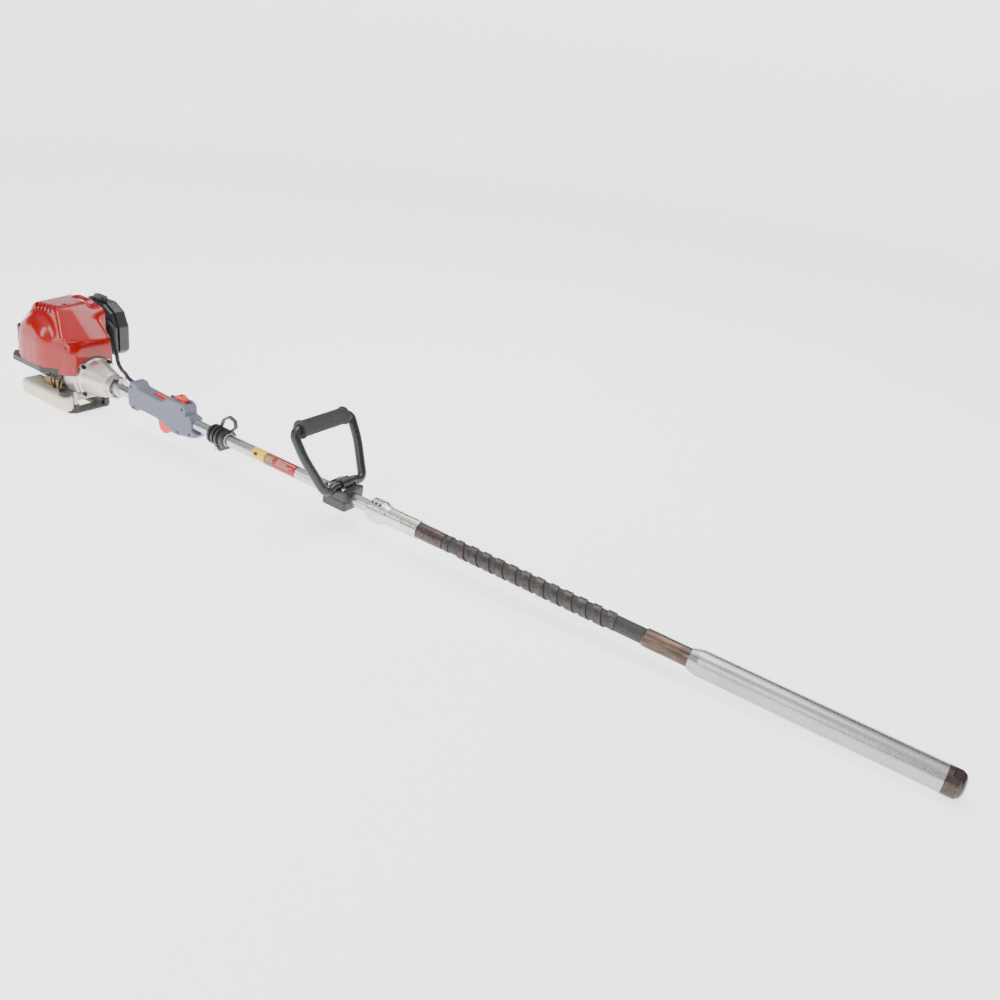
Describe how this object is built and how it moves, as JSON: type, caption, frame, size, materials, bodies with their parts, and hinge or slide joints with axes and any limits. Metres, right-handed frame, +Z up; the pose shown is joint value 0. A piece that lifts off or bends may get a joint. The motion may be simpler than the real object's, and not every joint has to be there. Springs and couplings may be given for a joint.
{
  "type": "concrete vibrator",
  "caption": "Hand-held petrol poker vibrator for concrete: small engine, straight tube with grip and loop handle, steel-wrapped hose and round vibrating head.",
  "frame": {"origin": "centre of the tank guard's flat underside, on the floor the machine lies on", "axes": "+X from the engine towards the poker tip along the floor, +Y to the air cleaner side, +Z up; the shaft slopes nose-down by about 1.9 degrees"},
  "size_m": [2.1197, 0.213, 0.2496],
  "materials": {
    "red_cover": "glossy moulded",
    "cast_alloy": "cast, slightly rough",
    "tube_alloy": "drawn, satin anodised",
    "steel": "ground",
    "black_steel": "black oxide",
    "zinc_steel": "zinc plated",
    "head_steel": "turned, satin",
    "dark_steel": "heat-darkened",
    "bronze_steel": "heat-browned",
    "strip_steel": "blued spring strip",
    "hose_rubber": "matt",
    "black_plastic": "fine moulded grain",
    "handle_black": "satin powder coat",
    "foam_grip": "fine ribbed",
    "grip_grey": "blue-grey moulded",
    "orange_plastic": "orange-red moulded",
    "tank_plastic": "translucent cream",
    "liner_plastic": "cream nylon",
    "cable_black": "smooth jacket",
    "filter_foam": "open foam",
    "clear_bulb": "clear soft bulb",
    "ceramic": "glazed"
  },
  "bodies": {
    "machine": {"crankcase": "cast_alloy", "engine_bearings": "steel", "cylinder": "cast_alloy", "piston": "cast_alloy", "connecting_rod": "steel", "fan_housing": "cast_alloy", "clutch_housing": "cast_alloy", "engine_screws": "black_steel", "recoil_housing": "black_plastic", "muffler": "dark_steel", "carburetor": "cast_alloy", "air_cleaner_base": "black_plastic", "filter_element": "filter_foam", "ignition_coil": "black_plastic", "spark_plug": "ceramic", "top_cowl": "red_cover", "side_skirt": "black_plastic", "fuel_tank": "tank_plastic", "tank_guard": "black_plastic", "main_tube": "tube_alloy", "tube_bushings": "liner_plastic", "grip_near_half": "grip_grey", "grip_far_half": "grip_grey", "shaft_screws": "black_steel", "throttle_cable": "cable_black", "coupling": "zinc_steel", "hose_rear": "hose_rubber", "hose_wrap_rear": "strip_steel", "rear_ferrule": "dark_steel"},
    "crank": {"crankshaft": "steel", "flywheel": "cast_alloy", "clutch_shoes": "black_steel"},
    "drive_line": {"clutch_drum": "steel", "drive_shaft": "steel"},
    "reel": {"recoil_reel": "black_plastic"},
    "starter_handle": {"starter_grip": "black_plastic"},
    "cap": {"fuel_cap": "black_plastic"},
    "air_cover": {"air_cleaner_cover": "black_plastic"},
    "choke": {"choke_lever": "black_plastic"},
    "primer": {"primer_bulb": "clear_bulb"},
    "trigger": {"throttle_trigger": "orange_plastic"},
    "lockout": {"lockout_lever": "orange_plastic"},
    "hold": {"hold_button": "orange_plastic"},
    "switch": {"stop_switch": "orange_plastic"},
    "hanger": {"hanger_clamp": "black_plastic", "hanger_liner": "liner_plastic", "hanger_screw": "zinc_steel"},
    "loop": {"loop_handle": "handle_black", "loop_grip": "foam_grip", "loop_clamp_lower": "black_plastic", "loop_clamp_upper": "black_plastic", "loop_clamp_bolts": "zinc_steel"},
    "head": {"hose_front": "hose_rubber", "hose_wrap_front": "strip_steel", "head_adapter": "bronze_steel", "head_tube": "head_steel", "head_tip": "dark_steel", "rotor_bearings": "steel"},
    "rotor": {"flex_core": "steel", "eccentric_rotor": "steel"}
  },
  "joints": [
    {"name": "crank_spin", "type": "hinge", "parent": "machine", "child": "crank", "pos_m": [-0.0151, 0, 0.08854], "axis": [0.9995, 0, -0.0329], "continuous": true},
    {"name": "drive_spin", "type": "hinge", "parent": "machine", "child": "drive_line", "pos_m": [0.09284, 0, 0.08499], "axis": [0.9995, 0, -0.0329], "continuous": true},
    {"name": "rotor_spin", "type": "hinge", "parent": "head", "child": "rotor", "pos_m": [1.75195, 0, 0.03044], "axis": [0.9995, 0, -0.0329], "continuous": true},
    {"name": "hose_bend", "type": "hinge", "parent": "machine", "child": "head", "pos_m": [1.30219, 0, 0.04523], "axis": [0, 0, 1], "range_deg": [-20, 20], "stiffness_Nm_per_rad": 60},
    {"name": "throttle_squeeze", "type": "hinge", "parent": "machine", "child": "trigger", "pos_m": [0.33599, 0, 0.05499], "axis": [0, 1, 0], "range_deg": [0, 10], "stiffness_Nm_per_rad": 1.5, "springref_deg": -11.46},
    {"name": "lockout_press", "type": "hinge", "parent": "machine", "child": "lockout", "pos_m": [0.32241, 0, 0.09846], "axis": [0, -1, 0], "range_deg": [0, 6], "stiffness_Nm_per_rad": 0.8, "springref_deg": -8.59},
    {"name": "hold_press", "type": "slide", "parent": "machine", "child": "hold", "axis": [-0.0329, 0, -0.9995], "range_m": [0, 0.004], "stiffness_N_per_m": 500, "springref_m": -0.004},
    {"name": "switch_slide", "type": "slide", "parent": "machine", "child": "switch", "axis": [0.9995, 0, -0.0329], "range_m": [0, 0.006]},
    {"name": "choke_turn", "type": "hinge", "parent": "machine", "child": "choke", "pos_m": [-0.0711, 0.083, 0.15042], "axis": [-0.9995, 0, 0.0329], "range_deg": [0, 60]},
    {"name": "primer_press", "type": "slide", "parent": "machine", "child": "primer", "axis": [0.0329, 0, 0.9995], "range_m": [0, 0.004], "stiffness_N_per_m": 600, "springref_m": -0.003},
    {"name": "air_cover_open", "type": "hinge", "parent": "machine", "child": "air_cover", "pos_m": [-0.01834, 0.094, 0.11166], "axis": [-0.9995, 0, 0.0329], "range_deg": [0, 70]},
    {"name": "cap_turn", "type": "hinge", "parent": "machine", "child": "cap", "pos_m": [0.05088, -0.066, 0.05636], "axis": [0.0329, 0, 0.9995], "range_deg": [0, 180]},
    {"name": "starter_pull", "type": "slide", "parent": "machine", "child": "starter_handle", "axis": [-0.1077, 0.9636, 0.2446], "range_m": [0, 0.6], "stiffness_N_per_m": 10, "springref_m": -0.5},
    {"name": "reel_spin", "type": "hinge", "parent": "machine", "child": "reel", "pos_m": [-0.08706, 0, 0.09091], "axis": [0.9995, 0, -0.0329], "range_deg": [-1150, 0]},
    {"name": "hanger_slide", "type": "slide", "parent": "machine", "child": "hanger", "axis": [0.9995, 0, -0.0329], "range_m": [-0.028, 0.07]},
    {"name": "loop_slide", "type": "slide", "parent": "machine", "child": "loop", "axis": [0.9995, 0, -0.0329], "range_m": [-0.07, 0.028]}
  ],
  "couplings": [
    {"joint": "drive_spin", "follows": "crank_spin", "ratio": 1},
    {"joint": "rotor_spin", "follows": "crank_spin", "ratio": 1},
    {"joint": "reel_spin", "follows": "starter_pull", "rad_per_m": -33}
  ]
}
